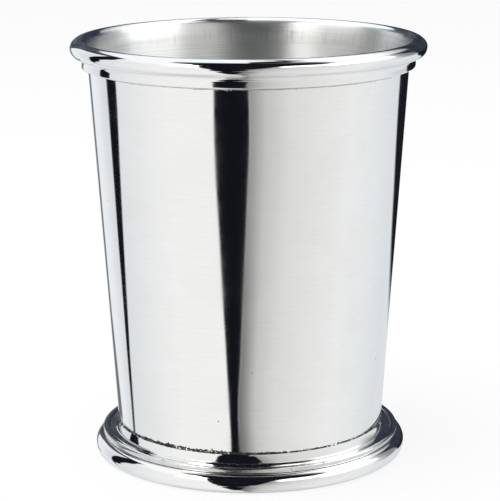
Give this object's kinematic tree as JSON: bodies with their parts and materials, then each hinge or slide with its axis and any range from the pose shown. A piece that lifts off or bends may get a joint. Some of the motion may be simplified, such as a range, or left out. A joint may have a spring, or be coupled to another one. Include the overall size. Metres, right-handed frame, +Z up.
{
  "type": "julep cup",
  "caption": "Tapered metal drinking cup with a thick rounded lip over a narrow collar, and a stepped, rolled foot ring.",
  "frame": {"origin": "centre of the base, on the surface that the cup stands on", "axes": "+Z up along the cup's axis; the cup is round, so +X and +Y have no special meaning"},
  "size_m": [0.08, 0.08, 0.0953],
  "materials": {
    "wall_metal": "polished outside, satin inside",
    "rim_metal": "polished",
    "foot_metal": "polished, duller in the crease",
    "floor_metal": "satin, turned",
    "solder": "dull, tarnished"
  },
  "bodies": {
    "root": {"body_wall": "wall_metal", "rim_moulding": "rim_metal", "foot_moulding": "foot_metal", "floor_disc": "floor_metal", "rim_solder": "solder", "foot_solder": "solder", "floor_solder": "solder"}
  },
  "joints": []
}
